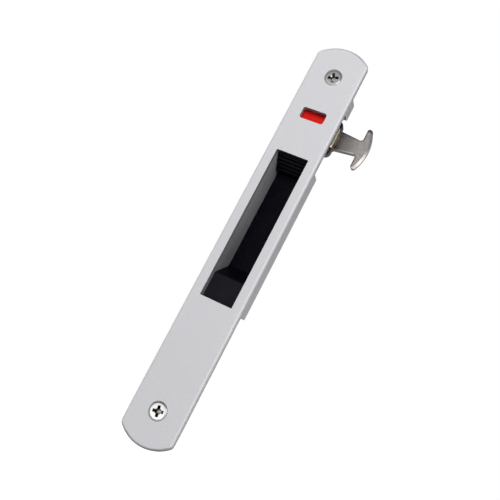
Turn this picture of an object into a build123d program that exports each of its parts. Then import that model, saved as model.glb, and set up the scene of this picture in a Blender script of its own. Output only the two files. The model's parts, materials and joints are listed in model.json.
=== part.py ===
from build123d import *
import math
import os

# Sliding door latch, locked: the hook and the finger slider are at the upper end of their travel.
# X runs across the plate towards the hook, Y into the door, Z up along the plate.
# The origin is midway between the two mounting screws, on the back of the plate's end tabs.

# Face plate, an aluminium profile with a flange along each side
plate_length = 195.0
plate_width = 25.0
plate_thickness = 2.5
end_radius = 17.5
corner_radius = 3.0
front_edge_radius = 1.2
flange_wall = 1.6
flange_height = 5.7
flange_corner_radius = 1.0
flange_end_margin = 1.2
web_relief = 0.2
snap_groove_setback = 2.2
snap_groove_width = 1.2
snap_groove_depth = 0.5

# Finger opening, with a rail of the plate on each side, and indicator window
rail_width = 4.8
opening_length = 72.7
opening_corner_radius = 0.4
window_side_margin = 1.6
window_height = 5.6
window_corner_radius = 1.2

# Mounting screws
screw_end_distance = 15.5
screw_diameter = 4.0
screw_length = 16.0
screw_hole_gap = 0.25
screw_head_diameter = 7.4
screw_head_rim = 0.25
screw_head_sink = 0.45
screw_neck_diameter = 3.5
screw_neck_length = 0.1
screw_tip_chamfer = 0.7
recess_span = 4.8
recess_slot = 1.3
recess_drop = 1.9
upper_screw_turn = 17.0
lower_screw_turn = 12.0

# Finger slider
travel = 9.0
slider_wall = 1.8
slider_side_gap = 0.4
slider_top_gap = 0.7
slider_floor_gap = 0.3
end_gap = 0.4
recess_depth = 14.2
upper_wall_lift = 0.2
lower_wall_run = 6.8
shelf_length = 11.9
shelf_overlap = 1.0
upper_foot_radius = 0.8
lower_foot_radius = 2.5
lower_brow_radius = 1.2
grip_setback = 1.1
grip_steps = 4
grip_step_depth = 1.6
grip_step_drop = 1.08
grip_nose_radius = 0.3
grip_foot_drop = 0.18

# Indicator chips
chip_lap = 0.8
chip_thickness = 0.8
chip_corner_radius = 0.8
chip_gap = 0.05
deck_margin = 0.4

# Hook
hook_drop = 3.95
hook_thickness = 3.0
hook_reach = 15.5
head_span = 20.0
head_radius = 22.0
prong_tip_width = 2.0
prong_tip_flat = 0.1
neck_width = 6.5
stem_root_width = 9.4
neck_radius = 1.3
root_radius = 1.0
head_bevel = 1.0
edge_break = 0.3
shoulder_length = 17.9
shoulder_radius = 2.5
shoulder_stand = 0.1
tang_end_margin = 1.2

# Hook carrier, its rivets and its heat-staked posts
carrier_thickness = 2.0
carrier_side_gap = 0.6
carrier_end_margin = 0.4
carrier_corner_radius = 1.0
lug_length = 10.0
slot_top_gap = 1.4
slot_bottom_gap = 2.6
rivet_diameter = 3.0
rivet_spacing = 10.0
rivet_inset = 9.2
rivet_head_diameter = 5.2
rivet_head_height = 1.2
rivet_sink = 1.0
post_diameter = 2.4
post_inset = 2.3
post_gap = 3.1
post_head_diameter = 3.8
post_head_height = 0.9
hole_gap = 0.05

# Guide case
case_wall = 1.6
case_end_wall = 1.2
case_screw_gap = 6.0
case_side_gap = 0.05
case_edge_radius = 1.2
case_bed_gap = 0.4
snap_rib_margin = 0.6
snap_rib_gap = 0.1
gusset_thickness = 1.2
gusset_inset = 3.6
gusset_reach = 8.0

# Detent spring
spring_strip = 0.35
spring_side_gap = 0.2
spring_length = 22.0
spring_foot = 2.0
spring_bump_width = 4.4
spring_bump_radius = 0.6
spring_bend_radius = 1.5
spring_knee_gap = 0.2
spring_drop = 2.45
spring_pocket_depth = 2.0
spring_pocket_gap = 0.3
notch_depth = 1.0
notch_gap = 0.35

# Depths, measured from the mounting plane
front_y = -plate_thickness
web_y = -web_relief
slider_y = web_y + slider_top_gap
deck_back_y = slider_y + slider_wall
carrier_back_y = deck_back_y + carrier_thickness
hook_back_y = carrier_back_y + hook_thickness
floor_y = front_y + recess_depth
tray_back_y = floor_y + slider_wall

# Across the plate
half_width = plate_width / 2
opening_width = plate_width - 2 * rail_width
slider_width = opening_width - 2 * slider_side_gap
window_width = slider_width - 2 * window_side_margin
chip_width = window_width + 2 * chip_lap
shoulder_x = half_width + shoulder_stand
carrier_half = opening_width / 2 - carrier_side_gap
post_x = carrier_half - post_inset
rivet_x = shoulder_x - rivet_inset
hook_tip_x = half_width + hook_reach
case_half = half_width - flange_wall - case_side_gap
case_inner_half = opening_width / 2
case_outer_half = case_inner_half + case_wall
pocket_x = -(case_inner_half + spring_pocket_depth)

# Down the plate, from the upper screw to the lower end of the opening
screw_z = plate_length / 2 - screw_end_distance
case_top_z = screw_z - case_screw_gap
deck_top_z = case_top_z - case_end_wall - end_gap
carrier_top_z = deck_top_z - carrier_end_margin
upper_post_z = carrier_top_z - post_inset
chip_height = window_height + 2 * chip_lap
green_z = deck_top_z - deck_margin - chip_height / 2
window_z = green_z - travel
hook_z = window_z - hook_drop
spring_z = hook_z - spring_drop
shoulder_top_z = hook_z + shoulder_length / 2
shoulder_bottom_z = hook_z - shoulder_length / 2
slot_top_z = shoulder_top_z + slot_top_gap
slot_bottom_z = shoulder_bottom_z - travel - slot_bottom_gap
lower_post_z = shoulder_bottom_z - post_gap
carrier_bottom_z = lower_post_z - post_inset
opening_top_z = carrier_bottom_z - carrier_end_margin - slider_wall
opening_bottom_z = opening_top_z - opening_length

# Finger slider's walls, grip steps and shelf, and the ends of the case and the flanges
upper_wall_z = opening_top_z + upper_wall_lift
grip_z = opening_top_z - grip_setback
upper_foot_z = grip_z - grip_steps * grip_step_drop - grip_foot_drop
upper_wall_run = upper_wall_z - upper_foot_z
shelf_top_z = opening_bottom_z + shelf_length
floor_bottom_z = shelf_top_z + lower_wall_run
shelf_bottom_z = opening_bottom_z - shelf_overlap
recess_rise = floor_y - slider_y
upper_lean = math.hypot(upper_wall_run, recess_rise) / recess_rise
lower_lean = math.hypot(lower_wall_run, recess_rise) / recess_rise
case_bottom_z = shelf_bottom_z - travel - end_gap - case_end_wall
flange_top_z = case_top_z
flange_bottom_z = opening_bottom_z - flange_end_margin

# Beds of the case and place of the spring, measured from the mounting plane
shelf_bed_y = deck_back_y + case_bed_gap
hook_bed_y = hook_back_y + rivet_head_height + case_bed_gap
tray_bed_y = tray_back_y + slider_floor_gap
slot_bed_y = hook_back_y + case_bed_gap
spring_y = (deck_back_y + carrier_back_y) / 2
spring_width = carrier_thickness - 2 * spring_side_gap


def slab(outline, y_from, y_to):
    """Extrude an outline drawn in X and Z from one depth to another."""
    return extrude(Plane.XZ.offset(-y_to) * outline, amount=y_to - y_from)


def across(profile, width):
    """Extrude a profile drawn in Y and Z to both sides of the plate's middle."""
    return extrude(Plane.YZ * profile, amount=width / 2, both=True)


def window(x_range, z_range):
    """A rectangle in X and Z between two pairs of limits."""
    width = x_range[1] - x_range[0]
    height = z_range[1] - z_range[0]
    return Pos(x_range[0] + width / 2, z_range[0] + height / 2) * Rectangle(width, height)


def disc(x, z, diameter):
    """A round outline in X and Z."""
    return Pos(x, z) * Circle(diameter / 2)


def turned(profile, x, z):
    """Revolve a profile of radius and depth about a line into the door."""
    axis_plane = Plane(origin=(x, 0, z), x_dir=(1, 0, 0), z_dir=(0, 0, 1))
    axis = Axis((x, 0, z), (0, 1, 0))
    return revolve(axis_plane * make_face(Polyline(*profile, close=True)), axis)


def plate_outline():
    """The long plate with its two round ends and softened corners."""
    end_center = plate_length / 2 - end_radius
    sides = Rectangle(plate_width, 2 * end_center)
    cap = Rectangle(plate_width, plate_length)
    ends = Pos(0, end_center) * Circle(end_radius) + Pos(0, -end_center) * Circle(end_radius)
    outline = (sides + ends) & cap
    corners = [v for v in outline.vertices() if abs(v.Y) > end_center + corner_radius]
    return fillet(corners, corner_radius)


def flange_outline(side):
    """A flange in plan; the flange on the hook's side is broken by the slot."""
    low, high = sorted((side * half_width, side * (half_width - flange_wall)))
    flange = window((low, high), (flange_bottom_z, flange_top_z))
    if side > 0:
        flange -= window((low, high), (slot_bottom_z, slot_top_z))
    return flange


def face_plate():
    body = slab(plate_outline(), front_y, 0)
    front_rim = body.faces().sort_by(Axis.Y)[0].outer_wire().edges()
    body = fillet(front_rim, front_edge_radius)
    relief = window((-case_half - case_side_gap, case_half + case_side_gap), (case_bottom_z, case_top_z))
    body -= slab(relief, web_y, 0)
    for side in (-1, 1):
        flange = slab(flange_outline(side), web_y, flange_height)
        corners = flange.edges().filter_by(Axis.X).group_by(Axis.Y)[-1]
        body += fillet(corners, flange_corner_radius)
        wall_x = side * (half_width - flange_wall)
        groove_x = sorted((wall_x, wall_x + side * snap_groove_depth))
        groove = window(groove_x, (flange_bottom_z, flange_top_z))
        body -= slab(groove, snap_groove_setback, snap_groove_setback + snap_groove_width)
    opening = window((-opening_width / 2, opening_width / 2), (opening_bottom_z, opening_top_z))
    body -= slab(fillet(opening.vertices(), opening_corner_radius), front_y, 0)
    sight = Pos(0, window_z) * RectangleRounded(window_width, window_height, window_corner_radius)
    body -= slab(sight, front_y, 0)
    hole_radius = screw_diameter / 2 + screw_hole_gap
    sink_radius = screw_head_diameter / 2 + screw_head_sink
    hole = [
        (0, front_y),
        (sink_radius, front_y),
        (hole_radius, front_y + sink_radius - hole_radius),
        (hole_radius, 0),
        (0, 0),
    ]
    for z in (-screw_z, screw_z):
        body -= turned(hole, 0, z)
    return body


def mounting_screw(z, turn):
    """A countersunk screw with a cross recess, its cone seated in the plate."""
    radius = screw_diameter / 2
    neck_radius = screw_neck_diameter / 2
    rim_radius = screw_head_diameter / 2
    rim_y = front_y + screw_head_sink
    top_y = rim_y - screw_head_rim
    neck_y = rim_y + rim_radius - neck_radius
    thread_y = neck_y + screw_neck_length
    tip_y = top_y + screw_length
    profile = [
        (0, top_y),
        (rim_radius, top_y),
        (rim_radius, rim_y),
        (neck_radius, neck_y),
        (neck_radius, thread_y),
        (radius, thread_y + radius - neck_radius),
        (radius, tip_y - screw_tip_chamfer),
        (radius - screw_tip_chamfer, tip_y),
        (0, tip_y),
    ]
    screw = turned(profile, 0, z)
    cross = Rectangle(recess_span, recess_slot) + Rectangle(recess_slot, recess_span)
    cutter = slab(Pos(0, z) * Rot(0, 0, turn) * cross, top_y, top_y + recess_drop)
    point = [
        (0, top_y),
        (recess_span / 2, top_y),
        (recess_slot / 2, top_y + recess_drop),
        (0, top_y + recess_drop),
    ]
    return screw - (cutter & turned(point, 0, z))


def slider_profile():
    """Deck, upper wall, floor, S-shaped wall and shelf as one bent wall."""
    top_line = FilletPolyline(
        (slider_y, deck_top_z),
        (slider_y, upper_wall_z),
        (floor_y, upper_foot_z),
        (floor_y, floor_bottom_z),
        (slider_y, shelf_top_z),
        (slider_y, shelf_bottom_z),
        radius=[grip_nose_radius, upper_foot_radius, lower_foot_radius, lower_brow_radius],
    )
    return make_face(offset(top_line, amount=slider_wall, side=Side.LEFT))


def grip_profile():
    """Steps for the fingertips along the upper wall, each with a rounded nose."""
    noses = []
    points = [(slider_y, upper_wall_z + slider_wall)]
    for step in range(grip_steps + 1):
        noses.append((slider_y + step * grip_step_depth, grip_z - step * grip_step_drop))
    for nose, following in zip(noses, noses[1:]):
        points += [nose, (following[0], nose[1])]
    points += [noses[-1], (floor_y, upper_foot_z), (floor_y, upper_foot_z + slider_wall)]
    steps = make_face(Polyline(*points, close=True))
    corners = [steps.vertices().sort_by_distance(nose)[0] for nose in noses]
    return fillet(corners, grip_nose_radius)


def chip_outline(z, clearance):
    """A chip in plan, or its pocket where the clearance is nil."""
    width = chip_width - 2 * clearance
    height = chip_height - 2 * clearance
    return Pos(0, z) * RectangleRounded(width, height, chip_corner_radius)


def post_places():
    """Centres of the posts that hold the carrier under the deck."""
    for x in (-post_x, post_x):
        for z in (lower_post_z, upper_post_z):
            yield x, z


def finger_slider():
    body = across(slider_profile() + grip_profile(), slider_width)
    for z in (window_z, green_z):
        body -= slab(chip_outline(z, 0), slider_y, slider_y + chip_thickness)
    for x, z in post_places():
        body += slab(disc(x, z, post_diameter), deck_back_y, carrier_back_y)
        head = [
            (0, carrier_back_y),
            (post_head_diameter / 2, carrier_back_y),
            (post_diameter / 2, carrier_back_y + post_head_height),
            (0, carrier_back_y + post_head_height),
        ]
        body += turned(head, x, z)
    return body


def indicator_chip(z):
    """A coloured chip set flush into its pocket in the deck."""
    return slab(chip_outline(z, chip_gap), slider_y, slider_y + chip_thickness)


def carrier_outline():
    """Plate under the deck with a lug that passes out through the slot."""
    plate = window((-carrier_half, carrier_half), (carrier_bottom_z, carrier_top_z))
    plate = fillet(plate.vertices(), carrier_corner_radius)
    lug = window((0, shoulder_x), (hook_z - lug_length / 2, hook_z + lug_length / 2))
    outer = lug.vertices().group_by(Axis.X)[-1]
    plate += fillet(outer, carrier_corner_radius)
    for x, z in post_places():
        plate -= disc(x, z, post_diameter + 2 * hole_gap)
    for z in (spring_z, spring_z + travel):
        half = spring_bump_width / 2 + notch_gap
        bottom = -carrier_half + notch_depth
        notch = Polyline((-carrier_half, z - half), (bottom, z), (-carrier_half, z + half), close=True)
        plate -= make_face(notch)
    return plate


def rivet_places():
    """Centres of the rivets that hold the hook on the carrier."""
    for z in (hook_z - rivet_spacing / 2, hook_z + rivet_spacing / 2):
        yield rivet_x, z


def rivet_profile(clearance):
    """Rivet shank with its front head sunk into the carrier."""
    radius = rivet_diameter / 2 + clearance
    return [
        (0, deck_back_y),
        (radius + rivet_sink, deck_back_y),
        (radius, deck_back_y + rivet_sink),
        (radius, hook_back_y),
        (0, hook_back_y),
    ]


def hook_carrier():
    body = slab(carrier_outline(), deck_back_y, carrier_back_y)
    lug_edges = body.edges().filter_by(Axis.Z).group_by(Axis.X)[-1]
    body = chamfer(lug_edges, edge_break)
    for x, z in rivet_places():
        body -= turned(rivet_profile(hole_gap), x, z)
    return body


def inside_corners(outline, x):
    """Corners where the stem meets the head or the shoulders."""
    reach = stem_root_width / 2 + hole_gap
    return [v for v in outline.vertices() if abs(v.X - x) < hole_gap and abs(v.Y) < reach]


def hook_outline():
    """Two-pronged head, tapered stem and the tang that lies under the carrier."""
    half_span = head_span / 2
    crown = head_radius - math.sqrt(head_radius**2 - half_span**2)
    prong_x = hook_tip_x - crown - prong_tip_width
    prong_tip_radius = (prong_tip_width - prong_tip_flat) / 2
    head = Pos(hook_tip_x - head_radius, 0) * Circle(head_radius)
    head &= window((prong_x, hook_tip_x), (-half_span, half_span))
    tips = [v for v in head.vertices() if abs(v.Y) > half_span - prong_tip_radius]
    head = fillet(tips, prong_tip_radius)
    stem = Polyline(
        (0, -stem_root_width / 2),
        (shoulder_x, -stem_root_width / 2),
        (prong_x + neck_radius, -neck_width / 2),
        (prong_x + neck_radius, neck_width / 2),
        (shoulder_x, stem_root_width / 2),
        (0, stem_root_width / 2),
        close=True,
    )
    tang_x = -carrier_half + tang_end_margin
    tang = window((tang_x, shoulder_x), (-shoulder_length / 2, shoulder_length / 2))
    tang = fillet(tang.vertices(), shoulder_radius)
    outline = head + make_face(stem) + tang
    outline = fillet(inside_corners(outline, prong_x), neck_radius)
    return fillet(inside_corners(outline, shoulder_x), root_radius)


def hook():
    body = slab(Pos(0, hook_z) * hook_outline(), carrier_back_y, hook_back_y)
    sides = body.faces().sort_by(Axis.Y)
    body = chamfer(sides[0].edges() + sides[-1].edges(), edge_break)
    for face_y, inward in ((carrier_back_y, head_bevel), (hook_back_y, -head_bevel)):
        rim = [
            (head_radius - head_bevel, face_y),
            (head_radius + head_bevel, face_y),
            (head_radius + head_bevel, face_y + 2 * inward),
        ]
        body -= turned(rim, hook_tip_x - head_radius, hook_z)
    for x, z in rivet_places():
        body -= slab(disc(x, z, rivet_diameter + 2 * hole_gap), carrier_back_y, hook_back_y)
    return body


def hook_rivet(z):
    """A rivet with a flush head in the carrier and a flat head behind the hook."""
    head = slab(disc(rivet_x, z, rivet_head_diameter), hook_back_y, hook_back_y + rivet_head_height)
    return turned(rivet_profile(0), rivet_x, z) + head


def case_lower_z(y, wall):
    """Lower end of the deep part, in line with the slider's S-shaped wall at the end of its travel."""
    wall_z = floor_bottom_z - lower_wall_run * (floor_y - y) / recess_rise
    return wall_z - (slider_wall + wall) * lower_lean - travel - end_gap


def case_upper_z(y, wall):
    """Upper end of the deep part, in line with the slider's upper wall."""
    wall_z = upper_wall_z - upper_wall_run * (y - slider_y) / recess_rise
    return wall_z + (slider_wall + wall) * upper_lean + end_gap


def case_profile(wall, end_wall):
    """Section along the case: shallow under the shelf, deep at the recess, medium at the hook."""
    shelf = shelf_bed_y + wall
    tray = tray_bed_y + wall
    hook_bed = hook_bed_y + wall
    bottom = case_bottom_z + case_end_wall - end_wall
    top = case_top_z - case_end_wall + end_wall
    points = [
        (web_y, bottom),
        (shelf, bottom),
        (shelf, case_lower_z(shelf, wall)),
        (tray, case_lower_z(tray, wall)),
        (tray, case_upper_z(tray, wall)),
        (hook_bed, case_upper_z(hook_bed, wall)),
        (hook_bed, top),
        (web_y, top),
    ]
    return make_face(Polyline(*points, close=True))


def gusset_profiles():
    """Ribs in the two corners where the case steps down from its deep part."""
    core = case_wall / 2
    low_y = shelf_bed_y + core
    high_y = hook_bed_y + core
    lower = [
        (low_y, case_lower_z(low_y, core) - gusset_reach),
        (low_y, case_lower_z(low_y, core)),
        (tray_bed_y, case_lower_z(tray_bed_y, core)),
    ]
    upper = [
        (high_y, case_upper_z(high_y, core) + gusset_reach),
        (high_y, case_upper_z(high_y, core)),
        (tray_bed_y, case_upper_z(tray_bed_y, core)),
    ]
    return make_face(Polyline(*lower, close=True)), make_face(Polyline(*upper, close=True))


def guide_case():
    shell = case_profile(case_wall, case_end_wall)
    behind = [v for v in shell.vertices() if v.X > web_y + case_edge_radius]
    body = across(fillet(behind, case_edge_radius), 2 * case_outer_half)
    for x in (-case_outer_half + gusset_inset, case_outer_half - gusset_inset):
        for profile in gusset_profiles():
            body += Pos(x, 0, 0) * across(profile, gusset_thickness)
    body += slab(window((-case_half, case_half), (flange_bottom_z, case_top_z)), web_y, flange_height)
    body -= across(case_profile(0, 0), 2 * case_inner_half)
    body -= slab(window((0, half_width), (slot_bottom_z, slot_top_z)), web_y, slot_bed_y)
    pocket_half = spring_length / 2 + spring_pocket_gap
    pocket = window((pocket_x, 0), (spring_z - pocket_half, spring_z + pocket_half))
    pocket_wall = spring_width / 2 + spring_pocket_gap
    body -= slab(pocket, spring_y - pocket_wall, spring_y + pocket_wall)
    rib_tip = case_half + case_side_gap + snap_groove_depth - snap_rib_gap
    spans = {-1: [(flange_bottom_z, flange_top_z)]}
    spans[1] = [(flange_bottom_z, slot_bottom_z), (slot_top_z, flange_top_z)]
    for side, stretches in spans.items():
        for low, high in stretches:
            x_range = sorted((side * case_half, side * rib_tip))
            rib = window(x_range, (low + snap_rib_margin, high - snap_rib_margin))
            rib_y = snap_groove_setback + snap_rib_gap
            body += slab(rib, rib_y, rib_y + snap_groove_width - 2 * snap_rib_gap)
    return body


def detent_spring():
    """A bowed strip held by its feet in the case, with a bump in the carrier's notch."""
    knee_x = -case_inner_half - spring_knee_gap - spring_strip
    tip_x = -carrier_half + notch_depth - notch_gap - spring_strip
    half = spring_length / 2
    line = FilletPolyline(
        (pocket_x, spring_z - half),
        (pocket_x, spring_z - half + spring_foot),
        (knee_x, spring_z - spring_bump_width / 2),
        (tip_x, spring_z),
        (knee_x, spring_z + spring_bump_width / 2),
        (pocket_x, spring_z + half - spring_foot),
        (pocket_x, spring_z + half),
        radius=[spring_bend_radius] + [spring_bump_radius] * 3 + [spring_bend_radius],
    )
    strip = make_face(offset(line, amount=spring_strip, side=Side.RIGHT))
    return slab(strip, spring_y - spring_width / 2, spring_y + spring_width / 2)


pieces = {
    "face_plate": face_plate(),
    "guide_case": guide_case(),
    "detent_spring": detent_spring(),
    "upper_mounting_screw": mounting_screw(screw_z, upper_screw_turn),
    "lower_mounting_screw": mounting_screw(-screw_z, lower_screw_turn),
    "finger_slider": finger_slider(),
    "red_indicator": indicator_chip(window_z),
    "green_indicator": indicator_chip(green_z),
    "hook_carrier": hook_carrier(),
    "hook": hook(),
    "upper_hook_rivet": hook_rivet(hook_z + rivet_spacing / 2),
    "lower_hook_rivet": hook_rivet(hook_z - rivet_spacing / 2),
}

os.makedirs("parts", exist_ok=True)
for name, shape in pieces.items():
    export_step(shape, f"parts/{name}.step")
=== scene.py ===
import json
import math

import bpy
from mathutils import Matrix, Vector


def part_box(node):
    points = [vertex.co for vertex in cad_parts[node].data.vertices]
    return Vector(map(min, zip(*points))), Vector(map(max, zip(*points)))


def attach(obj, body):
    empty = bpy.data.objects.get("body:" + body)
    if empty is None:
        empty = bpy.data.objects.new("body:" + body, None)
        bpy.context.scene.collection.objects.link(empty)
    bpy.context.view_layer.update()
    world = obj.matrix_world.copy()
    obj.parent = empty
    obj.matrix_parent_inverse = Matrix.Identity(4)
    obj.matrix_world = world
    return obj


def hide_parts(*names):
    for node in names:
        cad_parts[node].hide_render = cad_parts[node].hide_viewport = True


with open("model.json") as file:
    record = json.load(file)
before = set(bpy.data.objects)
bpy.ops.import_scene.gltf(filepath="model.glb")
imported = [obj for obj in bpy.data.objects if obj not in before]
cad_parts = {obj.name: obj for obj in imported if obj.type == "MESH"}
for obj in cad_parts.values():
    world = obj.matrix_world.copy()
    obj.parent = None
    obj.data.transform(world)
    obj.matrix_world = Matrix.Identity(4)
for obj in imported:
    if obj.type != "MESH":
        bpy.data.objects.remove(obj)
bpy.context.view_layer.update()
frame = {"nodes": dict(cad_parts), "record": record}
MM = 0.001

# Camera: place, point looked at, roll about the line of sight, and lens
CAMERA_PLACE = (0.10262, -0.29050, -0.06920)
CAMERA_TARGET = (0.003013, -0.0025, -0.005841)
CAMERA_ROLL = math.radians(27.63)
CAMERA_LENS = 53.03
CAMERA_SENSOR = 36.0
CAMERA_NEAR = 0.01

# Stage: a pale floor, with a glow of its own that only the camera and reflections see
FLOOR_Z = -0.16
FLOOR_SIZE = 6.0
FLOOR_GREY = 0.3
FLOOR_GLOW = 0.93

# Lamps: name, place, point lit, size, watts, and whether they show in reflections
LAMPS = [
    ("key", (-0.05, -0.75, 0.45), (0, 0, 0.02), 0.35, 4.3, False),
    ("front", (0.33, -0.93, 0.22), (0, 0, 0.01), 0.4, 2.7, True),
    ("side", (0.9, -0.25, 0.12), (0, 0, 0.05), 0.3, 0.5, True),
    ("back", (-0.3, 0.9, 0.5), (0, 0, 0), 0.9, 7.0, True),
]

# World light: strength low and high, and the rises between which it changes.
# The rise is the sine of the elevation.
FILL_SKY = (0.12, 0.34, -0.4, 1.0)
GLOSSY_SKY = (1.0, 0.32, 0.0, 0.45)
WHITE = (1.0, 1.0, 1.0, 1.0)

# Mounting screws
SCREW_SIDES = 40
SCREW_NECK = 1.75 * MM
SCREW_ROOT = 1.62 * MM
SCREW_SHARP = math.radians(35)
UPPER_SCREW_TURN = math.radians(-17)
LOWER_SCREW_TURN = math.radians(-12)
THREAD_HEIGHT = 0.38 * MM
THREAD_PITCH = 0.7 * MM
THREAD_STEPS = 6
THREAD_SLOPE = 1.6
THREAD_FLAT = 0.3
RIM_HEIGHT = 0.25 * MM
RECESS_SPAN = 4.8 * MM
RECESS_SLOT = 1.3 * MM
RECESS_DEPTH = 1.9 * MM
RECESS_CORE = 1.4 * MM

# Rounded rim of a screw's head, as shares of the head's radius and of the rim's height
RIM_PROFILE = [(0.88, 0.0), (0.97, 0.3), (1.0, 0.6), (1.0, 1.0)]

# Materials of a screw, in the order of its slots
SCREW_SLOTS = ("screw_steel", "recess_steel", "dull_steel")
BRIGHT, DARK, SHADED = range(3)

# Marks of the mould's ejector pins: ring profile as (radius, height), and places as (x, z)
EJECTOR_RING = [
    (2.0 * MM, -0.1 * MM),
    (2.0 * MM, 0.08 * MM),
    (1.85 * MM, 0.12 * MM),
    (1.65 * MM, 0.12 * MM),
    (1.5 * MM, 0.03 * MM),
]
EJECTOR_SPOTS = [(x * MM, z * MM) for z in (-18.0, 30.0, 68.0) for x in (-4.5, 4.5)]
BEHIND = 0.1

# Textures: grain and cloud sizes and depths in millimetres
MOULD_GRAIN = 0.35
MOULD_CLOUD = 5.0
MOULD_DEPTH = 0.012
PLASTIC_SHEEN = 0.06
STROKE_GRAIN = 0.12
STROKE_DEPTH = 0.004
SOFT_EDGE = 0.3
EDGE_SAMPLES = 8
FINE = 3.0
EVEN = (1, 1, 1)

# How deep into the recess the slider shows wear and a painted highlight
WEAR_AND_HIGHLIGHT_REACH = 9.0 * MM

# Painted shade on the recess's walls: how much of it, and between which heights it fades out
RECESS_SHADE_MOST = 0.42
RECESS_SHADE_FADE = (-10.0 * MM, 10.0 * MM)
RECESS_SHADE_MARGIN = 0.8 * MM

# Hook: how far painted shade spreads from the slot, width of the painted shade on edges facing up
# and back, and the painted shade at the end of the prong
SLOT_SHADE_REACH = 11.0 * MM
EDGE_SHADE_WIDTH = 1.1
TIP_DARK = (2.0 * MM, 0.8 * MM)

# Painted glint at the bottom of a screw's recess: radii in which it fades, and shares of its depth
GLINT_FADE = (0.5 * MM, 1.1 * MM)
GLINT_DEPTH = (0.5, 0.9)

# Cut edges of the plate's opening, window and screw holes: between its faces, off its sides
PLATE_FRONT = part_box("face_plate")[0].y
CUT_EDGE_MARGIN = 0.15 * MM
CUT_EDGE_REACH = 9.0 * MM
OPENING_END = 50.0 * MM


def node(tree, kind, **settings):
    """Add a node and set its properties and inputs by name."""
    new = tree.nodes.new(kind)
    for name, value in settings.items():
        if hasattr(new, name):
            setattr(new, name, value)
        else:
            new.inputs[name.replace("_", " ")].default_value = value
    return new


def set_range(ranged, low, high, start, end):
    """Make a map range node go from low to high as its value goes from start to end."""
    limits = {"From Min": start, "From Max": end, "To Min": low, "To Max": high}
    for name, value in limits.items():
        ranged.inputs[name].default_value = value


class Paint:
    """A procedural material around one principled shader, in the part's own coordinates."""

    def __init__(self, name):
        self.material = bpy.data.materials.new(name)
        self.material.use_nodes = True
        self.tree = self.material.node_tree
        self.shader = self.tree.nodes["Principled BSDF"]
        coordinates = node(self.tree, "ShaderNodeTexCoord")
        self.place = coordinates.outputs["Object"]
        self.facing = coordinates.outputs["Normal"]
        self.color = None
        self.normal = None

    def link(self, source, target):
        self.tree.links.new(source, target)

    def set(self, **values):
        """Set plain values on the shader's own sockets."""
        for name, value in values.items():
            self.shader.inputs[name.replace("_", " ")].default_value = value
        return self

    def stretched(self, scale):
        """The part's coordinates scaled differently along each axis."""
        mapping = node(self.tree, "ShaderNodeMapping")
        mapping.inputs["Scale"].default_value = scale
        self.link(self.place, mapping.inputs["Vector"])
        return mapping.outputs["Vector"]

    def noise(self, grain, detail=2.0, place=None):
        """Noise whose grains are about this many millimetres across."""
        texture = node(self.tree, "ShaderNodeTexNoise", Scale=1.0 / (grain * MM), Detail=detail)
        self.link(place or self.place, texture.inputs["Vector"])
        return texture.outputs["Fac"]

    def spread(self, source, low, high, start=0.3, end=0.7):
        """Map a texture's middle range, or another range, to a range of values."""
        ranged = node(self.tree, "ShaderNodeMapRange")
        set_range(ranged, low, high, start, end)
        self.link(source, ranged.inputs["Value"])
        return ranged.outputs["Result"]

    def tint(self, factor, low, high):
        """Vary the base colour between two colours."""
        ramp = node(self.tree, "ShaderNodeValToRGB")
        ramp.color_ramp.elements[0].color = (*low, 1.0)
        ramp.color_ramp.elements[1].color = (*high, 1.0)
        self.link(self.spread(factor, 0.0, 1.0), ramp.inputs["Fac"])
        self.color = ramp.outputs["Color"]
        self.link(self.color, self.shader.inputs["Base Color"])
        return self

    def overlay(self, factor, color):
        """Lay one more colour over the base colour where the factor is high."""
        mix = node(self.tree, "ShaderNodeMix", data_type="RGBA")
        self.link(factor, mix.inputs["Factor"])
        self.link(self.color, mix.inputs["A"])
        mix.inputs["B"].default_value = (*color, 1.0)
        self.color = mix.outputs["Result"]
        self.link(self.color, self.shader.inputs["Base Color"])
        return self

    def axis(self, name, source=None):
        """One coordinate of the place on the part, or of a direction such as the one it faces."""
        parts = node(self.tree, "ShaderNodeSeparateXYZ")
        self.link(source or self.place, parts.inputs[0])
        return parts.outputs[name]

    def rounded(self, radius):
        """The direction that the surface faces, with edges rounded by this many millimetres."""
        bevel = node(self.tree, "ShaderNodeBevel", samples=EDGE_SAMPLES, Radius=radius * MM)
        return bevel.outputs["Normal"]

    def math(self, operation, first, second=None):
        """A math node on one or two sockets or plain numbers."""
        result = node(self.tree, "ShaderNodeMath", operation=operation)
        for place, value in enumerate((first, second)):
            if isinstance(value, bpy.types.NodeSocket):
                self.link(value, result.inputs[place])
            elif value is not None:
                result.inputs[place].default_value = value
        return result.outputs[0]

    def times(self, *factors):
        """The product of several sockets."""
        product = factors[0]
        for factor in factors[1:]:
            product = self.math("MULTIPLY", product, factor)
        return product

    def within(self, name, low, high):
        """1 where a coordinate lies between two values in metres."""
        above = self.math("GREATER_THAN", self.axis(name), low)
        below = self.math("LESS_THAN", self.axis(name), high)
        return self.times(above, below)

    def rough(self, factor, low, high):
        self.link(self.spread(factor, low, high), self.shader.inputs["Roughness"])
        return self

    def soften(self, radius):
        """Shade sharp edges as if rounded by this many millimetres; comes before any bump."""
        self.normal = self.rounded(radius)
        return self

    def bump(self, height, depth):
        """Raise the surface by a texture, with its full depth in millimetres."""
        bump = node(self.tree, "ShaderNodeBump", Strength=1.0, Distance=depth * MM)
        self.link(height, bump.inputs["Height"])
        if self.normal:
            self.link(self.normal, bump.inputs["Normal"])
        self.normal = bump.outputs["Normal"]
        self.link(self.normal, self.shader.inputs["Normal"])
        return self


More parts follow.
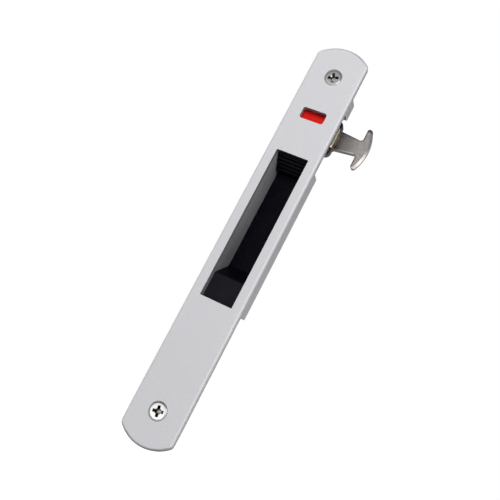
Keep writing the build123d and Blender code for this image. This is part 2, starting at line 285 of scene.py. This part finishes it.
def silver_coat():
    """Satin powder coat, with a painted highlight where the hook's side rounds over, painted shade
    on faces turned up or down and on the opening's downward cut edges, and darker on its cut
    edges.
    """
    paint = Paint("silver_coat").set(Specular_IOR_Level=0.5)
    speckle = paint.noise(0.4, detail=FINE)
    paint.tint(speckle, (0.60, 0.60, 0.625), (0.66, 0.66, 0.685))

    # Painted highlight: lighter where the side towards the hook starts to round over
    tilt = paint.axis("X", paint.facing)
    turning = paint.spread(tilt, 0.0, 1.0, 0.1, 0.3)
    turned = paint.spread(tilt, 1.0, 0.0, 0.4, 1.0)
    paint.overlay(paint.times(turning, turned), (0.76, 0.76, 0.78))

    # Painted shade: darker on faces turned up or down, such as the rounded ends and their outline
    endwise = paint.math("ABSOLUTE", paint.axis("Z", paint.facing))
    paint.overlay(paint.spread(endwise, 0.0, 1.0, 0.1, 0.4), (0.36, 0.36, 0.38))

    depth = paint.within("Y", PLATE_FRONT + CUT_EDGE_MARGIN, -CUT_EDGE_MARGIN)
    middle = paint.within("X", -CUT_EDGE_REACH, CUT_EDGE_REACH)
    edges = paint.times(depth, middle)
    paint.overlay(edges, (0.30, 0.30, 0.31))

    # Painted shade: nearly black on cut edges facing down inside the opening
    downward = paint.spread(paint.axis("Z", paint.facing), 1.0, 0.0, -0.9, -0.6)
    below_window = paint.within("Z", -OPENING_END, OPENING_END)
    paint.overlay(paint.times(edges, downward, below_window), (0.03, 0.03, 0.03))

    paint.rough(paint.noise(9.0), 0.38, 0.46)
    paint.soften(SOFT_EDGE).bump(speckle, 0.012)
    return paint.material


def moulded(name, low, high, roughness, depth):
    """Moulded plastic with a fine spark-eroded texture, faint cloudiness and softened edges."""
    paint = Paint(name).set(Specular_IOR_Level=PLASTIC_SHEEN)
    texture = paint.noise(MOULD_GRAIN, detail=FINE)
    paint.tint(paint.noise(MOULD_CLOUD), low, high)
    paint.rough(texture, *roughness)
    return paint.soften(SOFT_EDGE).bump(texture, depth)


def chip_plastic(name, low, high):
    """Smooth coloured plastic of an indicator chip."""
    return moulded(name, low, high, (0.3, 0.4), 0.004).material


def grey_nylon():
    """Grey moulding, with painted shade on the recess's walls towards its lower end."""
    low, high = (0.495, 0.495, 0.515), (0.525, 0.525, 0.545)
    paint = moulded("grey_nylon", low, high, (0.45, 0.6), MOULD_DEPTH)
    left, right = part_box("finger_slider")
    inside = paint.within("X", left.x - RECESS_SHADE_MARGIN, right.x + RECESS_SHADE_MARGIN)
    lower = paint.spread(paint.axis("Z"), RECESS_SHADE_MOST, 0.0, *RECESS_SHADE_FADE)
    # Painted shade: darker on the recess's walls towards the lower end
    paint.overlay(paint.times(inside, lower), (0.20, 0.20, 0.21))
    return paint.material


def black_nylon():
    """Black moulding, paler on faces turned to the front near the front, on the shelf and the
    front steps: partly wear, partly a painted highlight.
    """
    paint = Paint("black_nylon")
    texture = paint.noise(MOULD_GRAIN, detail=FINE)
    cloud = paint.noise(MOULD_CLOUD)
    paint.tint(cloud, (0.0012, 0.0010, 0.0030), (0.0021, 0.0018, 0.0044))

    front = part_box("finger_slider")[0].y
    worn_and_lit = paint.spread(paint.axis("Y"), 1.0, 0.0, front, front + WEAR_AND_HIGHLIGHT_REACH)
    outward = paint.spread(paint.axis("Y", paint.facing), 1.0, 0.0, -0.95, -0.5)
    patchy = paint.spread(cloud, 0.65, 1.0)
    # Paler on front-facing faces near the front: partly wear, partly a painted highlight
    paint.overlay(paint.times(worn_and_lit, outward, patchy), (0.0108, 0.0104, 0.0132))

    sheen = paint.spread(paint.noise(0.5, detail=FINE), 0.02, 0.105)
    paint.link(sheen, paint.shader.inputs["Specular IOR Level"])
    paint.rough(texture, 0.36, 0.5)
    paint.bump(texture, MOULD_DEPTH)
    return paint.material


def steel(name, low, high, roughness, stroke):
    """Bare or plated steel with blotches and fine strokes, drawn out where the stroke is small."""
    paint = Paint(name).set(Metallic=1.0)
    strokes = paint.noise(STROKE_GRAIN, detail=FINE, place=paint.stretched(stroke))
    paint.tint(paint.noise(2.5, detail=FINE), low, high)
    paint.rough(strokes, *roughness)
    paint.bump(strokes, STROKE_DEPTH)
    return paint.material


def hook_steel():
    """Tumbled stainless steel, with painted shade on its sheared edges, on edges facing up and
    back, near the slot and at the upper prong's end.
    """
    paint = Paint("hook_steel").set(Metallic=1.0)
    strokes = paint.noise(STROKE_GRAIN, detail=FINE, place=paint.stretched((0.05, 1.0, 1.0)))
    paint.tint(paint.noise(2.2, detail=FINE), (0.545, 0.51, 0.495), (0.645, 0.61, 0.595))

    slot_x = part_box("face_plate")[1].x
    # Painted shade: darker near the slot, where the hook meets the plate
    along = paint.spread(paint.axis("X"), 1.0, 0.0, slot_x, slot_x + SLOT_SHADE_REACH)
    uneven = paint.spread(paint.noise(3.5), 0.8, 1.0)
    paint.overlay(paint.times(along, uneven), (0.024, 0.018, 0.015))

    # Painted shade: nearly black on the sheared edges, which face sideways
    flatness = paint.math("ABSOLUTE", paint.axis("Y", paint.facing))
    paint.overlay(paint.spread(flatness, 0.95, 0.0, 0.3, 0.68), (0.03, 0.027, 0.025))

    # Painted shade: dark on edges facing up and back towards the plate
    rounded = paint.rounded(EDGE_SHADE_WIDTH)
    upward = paint.math("SUBTRACT", paint.axis("Z", rounded), paint.axis("X", rounded))
    paint.overlay(paint.spread(upward, 0.0, 0.9, 0.1, 0.35), (0.035, 0.03, 0.026))

    # Painted shade: dark at the upper prong's end
    start, end = (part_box("hook")[1].z - below for below in TIP_DARK)
    paint.overlay(paint.spread(paint.axis("Z"), 0.0, 0.8, start, end), (0.03, 0.027, 0.025))

    paint.rough(strokes, 0.26, 0.36)
    paint.bump(strokes, STROKE_DEPTH)
    return paint.material


def recess_steel():
    """Inside of a cross recess, near-black as painted shade, its bottom lighter as a painted
    glint, more so in the upper screw.
    """
    paint = Paint("recess_steel").set(Metallic=1.0)
    grain = paint.noise(0.3, detail=FINE)
    # Painted shade: a near-black colour inside the recess
    paint.tint(grain, (0.03, 0.027, 0.024), (0.09, 0.08, 0.07))

    # The two screws stand at the same distance above and below the part's middle
    low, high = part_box("upper_mounting_screw")
    x = paint.axis("X")
    height = paint.math("ABSOLUTE", paint.axis("Z"))
    z = paint.math("SUBTRACT", height, (low.z + high.z) / 2)
    squares = paint.math("ADD", paint.times(x, x), paint.times(z, z))
    middle = paint.spread(paint.math("SQRT", squares), 1.0, 0.0, *GLINT_FADE)
    start, end = (low.y + share * RECESS_DEPTH for share in GLINT_DEPTH)
    bottom = paint.spread(paint.axis("Y"), 0.0, 1.0, start, end)
    glint = paint.times(middle, bottom)
    # Painted glint: the bottom of the recess lighter towards its middle
    paint.overlay(glint, (0.46, 0.39, 0.37))
    # Painted glint: brighter again in the upper screw
    upper = paint.math("GREATER_THAN", paint.axis("Z"), 0.0)
    paint.overlay(paint.times(glint, upper), (0.95, 0.90, 0.87))

    paint.rough(grain, 0.25, 0.4)
    paint.bump(grain, STROKE_DEPTH)
    return paint.material


MATERIALS = {
    "silver_coat": silver_coat(),
    "grey_nylon": grey_nylon(),
    "black_nylon": black_nylon(),
    "red_plastic": chip_plastic("red_plastic", (0.64, 0.012, 0.010), (0.72, 0.016, 0.012)),
    "green_plastic": chip_plastic("green_plastic", (0.02, 0.30, 0.05), (0.025, 0.36, 0.06)),
    "hook_steel": hook_steel(),
    "recess_steel": recess_steel(),
    # Darker copy of the screw's steel: painted shade on the head's rim, also used for the shank
    "dull_steel": steel(
        "dull_steel", (0.38, 0.36, 0.36), (0.50, 0.475, 0.475), (0.2, 0.3), EVEN),
    "zinc_steel": steel(
        "zinc_steel", (0.72, 0.63, 0.48), (0.84, 0.75, 0.59), (0.25, 0.4), (0.02, 1, 1)),
    "screw_steel": steel(
        "screw_steel", (0.84, 0.84, 0.84), (0.94, 0.94, 0.94), (0.18, 0.28), EVEN),
    "rivet_steel": steel(
        "rivet_steel", (0.5, 0.5, 0.49), (0.6, 0.6, 0.59), (0.3, 0.4), EVEN),
    "spring_steel": steel(
        "spring_steel", (0.42, 0.41, 0.4), (0.52, 0.51, 0.5), (0.25, 0.35), (1, 1, 0.02)),
}

for subpart in frame["record"]["subparts"]:
    mesh = frame["nodes"][subpart["node"]].data
    mesh.materials.clear()
    mesh.materials.append(MATERIALS[subpart["material_slot"]])


def new_piece(name, points, faces):
    """A new object in the scene from points and faces."""
    mesh = bpy.data.meshes.new(name)
    mesh.from_pydata(points, [], faces)
    piece = bpy.data.objects.new(name, mesh)
    bpy.context.scene.collection.objects.link(piece)
    return piece


def ring(radius, depth, center, thread=0.0, turns=0.0):
    """Points round a line into the door; a thread makes the radius grow and fall once a turn."""
    points = []
    for index in range(SCREW_SIDES):
        share = index / SCREW_SIDES
        wave = abs(2 * ((turns - share) % 1.0) - 1)
        reach = radius + thread * min(1.0, max(0.0, THREAD_SLOPE * wave - THREAD_FLAT))
        angle = 2 * math.pi * share
        x = center.x + reach * math.cos(angle)
        z = center.z + reach * math.sin(angle)
        points.append((x, depth, z))
    return points


def piece_of_rings(name, rings):
    """A closed skin over a row of rings."""
    sides = len(rings[0])
    last = (len(rings) - 1) * sides
    faces = [tuple(range(sides))]
    for base in range(0, last, sides):
        for index in range(sides):
            after = (index + 1) % sides
            above = base + sides
            faces.append((base + index, above + index, above + after, base + after))
    faces.append(tuple(reversed(range(last, last + sides))))
    return new_piece(name, [point for points in rings for point in points], faces)


def paint_screw(piece, places):
    """Give a piece a screw's materials, one place for each face and the last for the rest."""
    for name in SCREW_SLOTS:
        piece.data.materials.append(MATERIALS[name])
    for face in piece.data.polygons:
        face.material_index = places[min(face.index, len(places) - 1)]
    return piece


def cross_cutter(center, top, turn):
    """One tapered bar of a cross recess, as far above the head's face as below it."""
    points = []
    for depth, share in ((top - RECESS_DEPTH, 1.5), (top + RECESS_DEPTH, 0.5)):
        half_length = RECESS_SPAN / 2 * share
        half_width = RECESS_SLOT / 2 * (0.5 + 0.5 * share)
        for x, z in ((-1, -1), (1, -1), (1, 1), (-1, 1)):
            place = Matrix.Rotation(turn, 3, "Y") @ Vector((x * half_length, 0, z * half_width))
            points.append(center + place + Vector((0, depth, 0)))
    faces = [(0, 1, 2, 3), (7, 6, 5, 4), (0, 4, 5, 1), (1, 5, 6, 2), (2, 6, 7, 3), (3, 7, 4, 0)]
    return paint_screw(new_piece("cutter", points, faces), [DARK])


def cone_cutter(center, top):
    """The conical middle of a cross recess, seen between its arms."""
    upper = ring(1.5 * RECESS_CORE, top - RECESS_DEPTH / 2, center)
    lower = ring(0.5 * RECESS_CORE, top + RECESS_DEPTH / 2, center)
    return paint_screw(piece_of_rings("cutter", [upper, lower]), [BRIGHT])


def cut(piece, cutters):
    """Cut the pieces in cutters out of a piece and throw them away."""
    for cutter in cutters:
        modifier = piece.modifiers.new("cut", "BOOLEAN")
        modifier.operation = "DIFFERENCE"
        modifier.object = cutter
    graph = bpy.context.evaluated_depsgraph_get()
    piece.data = bpy.data.meshes.new_from_object(piece.evaluated_get(graph))
    piece.modifiers.clear()
    for cutter in cutters:
        bpy.data.objects.remove(cutter)


def thread_rings(center, neck, tip):
    """Rings down a screw's shank, its thread rising from the neck and fading at the tip."""
    rings = []
    steps = round((tip - neck) / THREAD_PITCH * THREAD_STEPS)
    for step in range(1, steps + 1):
        depth = neck + (tip - neck) * step / steps
        share = min(1.0, (depth - neck) / THREAD_PITCH, (tip - depth) / THREAD_PITCH)
        rising = share < 1.0 and depth < neck + THREAD_PITCH
        radius = SCREW_NECK if rising else SCREW_ROOT
        rings.append(ring(radius, depth, center, THREAD_HEIGHT * share, depth / THREAD_PITCH))
    return rings


def add_screw(node_name, turn):
    """A countersunk cross-recess screw with a real thread, in place of the plain one."""
    low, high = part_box(node_name)
    center = Vector(((low.x + high.x) / 2, 0, (low.z + high.z) / 2))
    head = (high.x - low.x) / 2
    top, tip = low.y, high.y
    neck = top + RIM_HEIGHT + head - SCREW_NECK
    rings = [ring(wide * head, top + deep * RIM_HEIGHT, center) for wide, deep in RIM_PROFILE]
    rings.append(ring(SCREW_NECK, neck, center))
    rings += thread_rings(center, neck, tip)
    # Painted shade: the head's face in bright steel, the rim and shank in a darker copy of it
    screw = paint_screw(piece_of_rings(node_name + "_detailed", rings), [BRIGHT, SHADED])
    bars = [cross_cutter(center, top, turn + angle) for angle in (0, math.pi / 2)]
    cut(screw, [cone_cutter(center, top)] + bars)
    screw.data.shade_smooth()
    screw.data.set_sharp_from_angle(angle=SCREW_SHARP)
    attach(screw, "body")
    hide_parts(node_name)


def add_ejector_mark(name, x, z):
    """A shallow raised ring left by an ejector pin of the mould on the back of the case."""
    case = frame["nodes"]["guide_case"]
    place = case.ray_cast(Vector((x, BEHIND, z)), Vector((0, -1, 0)))[1]
    rings = [ring(radius, place.y + height, place) for radius, height in EJECTOR_RING]
    mark = piece_of_rings(name, rings)
    mark.data.materials.append(MATERIALS["grey_nylon"])
    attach(mark, "body")


add_screw("upper_mounting_screw", UPPER_SCREW_TURN)
add_screw("lower_mounting_screw", LOWER_SCREW_TURN)
for number, (x, z) in enumerate(EJECTOR_SPOTS, start=1):
    add_ejector_mark("ejector_mark_%d" % number, x, z)


def aimed(place, target):
    """The turn that makes a camera or lamp at one place look at another."""
    return (Vector(target) - Vector(place)).to_track_quat("-Z", "Y").to_matrix()


def add_camera():
    data = bpy.data.cameras.new("camera")
    data.sensor_width = CAMERA_SENSOR
    data.lens = CAMERA_LENS
    data.clip_start = CAMERA_NEAR
    camera = bpy.data.objects.new("camera", data)
    turn = aimed(CAMERA_PLACE, CAMERA_TARGET) @ Matrix.Rotation(CAMERA_ROLL, 3, "Z")
    camera.matrix_world = Matrix.Translation(CAMERA_PLACE) @ turn.to_4x4()
    bpy.context.scene.collection.objects.link(camera)
    bpy.context.scene.camera = camera


def add_lamp(name, place, target, size, watts, mirrored):
    data = bpy.data.lights.new(name, "AREA")
    data.size = size
    data.energy = watts
    lamp = bpy.data.objects.new(name, data)
    lamp.visible_glossy = mirrored
    lamp.matrix_world = Matrix.Translation(place) @ aimed(place, target).to_4x4()
    bpy.context.scene.collection.objects.link(lamp)


def larger(tree, first, second):
    """The larger of two sockets' values."""
    largest = node(tree, "ShaderNodeMath", operation="MAXIMUM")
    tree.links.new(first, largest.inputs[0])
    tree.links.new(second, largest.inputs[1])
    return largest.outputs[0]


def add_world():
    """White where it is seen; white around and dimmer overhead to metal; else a soft fill."""
    world = bpy.data.worlds.new("studio")
    bpy.context.scene.world = world
    world.use_nodes = True
    tree = world.node_tree
    tree.nodes.clear()
    path = node(tree, "ShaderNodeLightPath").outputs
    direction = node(tree, "ShaderNodeTexCoord")
    parts = node(tree, "ShaderNodeSeparateXYZ")
    tree.links.new(direction.outputs["Generated"], parts.inputs[0])

    def sky(low, high, start, end):
        """A background whose strength goes from low to high as the direction rises."""
        light = node(tree, "ShaderNodeBackground", Color=WHITE)
        rise = node(tree, "ShaderNodeMapRange", interpolation_type="SMOOTHSTEP")
        set_range(rise, low, high, start, end)
        tree.links.new(parts.outputs["Z"], rise.inputs["Value"])
        tree.links.new(rise.outputs["Result"], light.inputs["Strength"])
        return light.outputs[0]

    def choose(factor, otherwise, chosen):
        """One background where the factor is 1 and the other where it is 0."""
        mix = node(tree, "ShaderNodeMixShader")
        tree.links.new(factor, mix.inputs["Fac"])
        tree.links.new(otherwise, mix.inputs[1])
        tree.links.new(chosen, mix.inputs[2])
        return mix.outputs[0]

    white = node(tree, "ShaderNodeBackground", Color=WHITE, Strength=1.0).outputs[0]
    unseen = choose(path["Is Glossy Ray"], sky(*FILL_SKY), sky(*GLOSSY_SKY))
    seen = larger(tree, path["Is Camera Ray"], path["Is Transmission Ray"])
    out = node(tree, "ShaderNodeOutputWorld")
    tree.links.new(choose(seen, unseen, white), out.inputs["Surface"])


def floor_material():
    """Pale, keeping the shadow, with a little light of its own that makes it white."""
    material = bpy.data.materials.new("floor")
    material.use_nodes = True
    tree = material.node_tree
    tree.nodes.clear()
    diffuse = node(tree, "ShaderNodeBsdfDiffuse", Color=(FLOOR_GREY, FLOOR_GREY, FLOOR_GREY, 1.0))
    glow = node(tree, "ShaderNodeEmission", Color=WHITE)
    path = node(tree, "ShaderNodeLightPath").outputs
    seen = larger(tree, path["Is Camera Ray"], path["Is Glossy Ray"])
    seen = larger(tree, seen, path["Is Transmission Ray"])
    strength = node(tree, "ShaderNodeMath", operation="MULTIPLY")
    strength.inputs[1].default_value = FLOOR_GLOW
    add = node(tree, "ShaderNodeAddShader")
    out = node(tree, "ShaderNodeOutputMaterial")
    tree.links.new(seen, strength.inputs[0])
    tree.links.new(strength.outputs[0], glow.inputs["Strength"])
    tree.links.new(diffuse.outputs[0], add.inputs[0])
    tree.links.new(glow.outputs[0], add.inputs[1])
    tree.links.new(add.outputs[0], out.inputs["Surface"])
    return material


def add_floor():
    half = FLOOR_SIZE / 2
    sides = ((-half, -half), (half, -half), (half, half), (-half, half))
    floor = new_piece("floor", [(x, y, FLOOR_Z) for x, y in sides], [(0, 1, 2, 3)])
    floor.data.materials.append(floor_material())


add_camera()
add_world()
add_floor()
for lamp in LAMPS:
    add_lamp(*lamp)

bpy.context.scene.view_settings.view_transform = "Standard"
